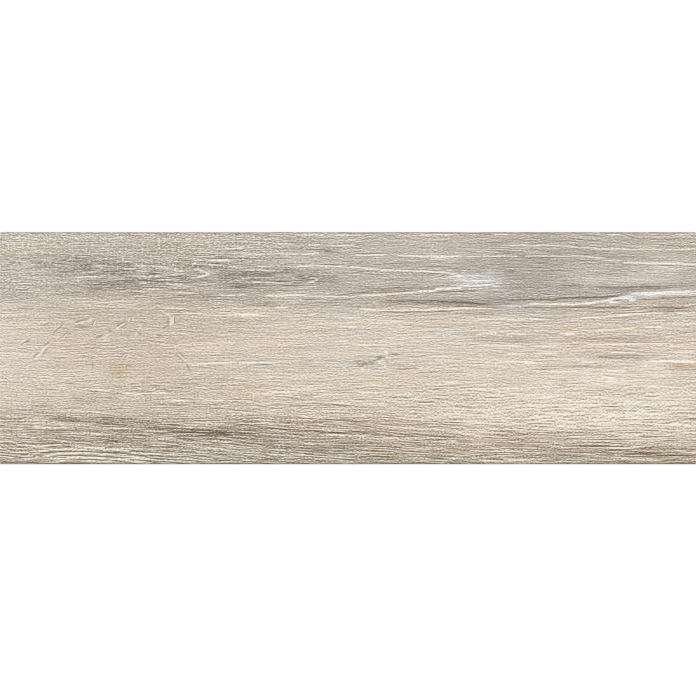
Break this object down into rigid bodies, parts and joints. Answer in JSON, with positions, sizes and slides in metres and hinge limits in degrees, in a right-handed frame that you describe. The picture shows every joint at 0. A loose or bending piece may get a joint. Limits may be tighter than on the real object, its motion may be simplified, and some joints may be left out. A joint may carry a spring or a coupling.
{
  "type": "wood look porcelain plank tile",
  "caption": "Rectangular pressed porcelain floor tile in plank format, wood grain face with eased arris, relieved back edge and ribbed keying back.",
  "frame": {"origin": "middle of the back, in the plane of the keying ribs that the tile lies on", "axes": "+X along the plank and its grain, +Y across it, +Z out of the printed face"},
  "size_m": [0.6, 0.2, 0.009],
  "materials": {
    "porcelain": "matt printed wood grain face, bare fired sides and back"
  },
  "bodies": {
    "root": {"plank_tile": "porcelain"}
  },
  "joints": []
}
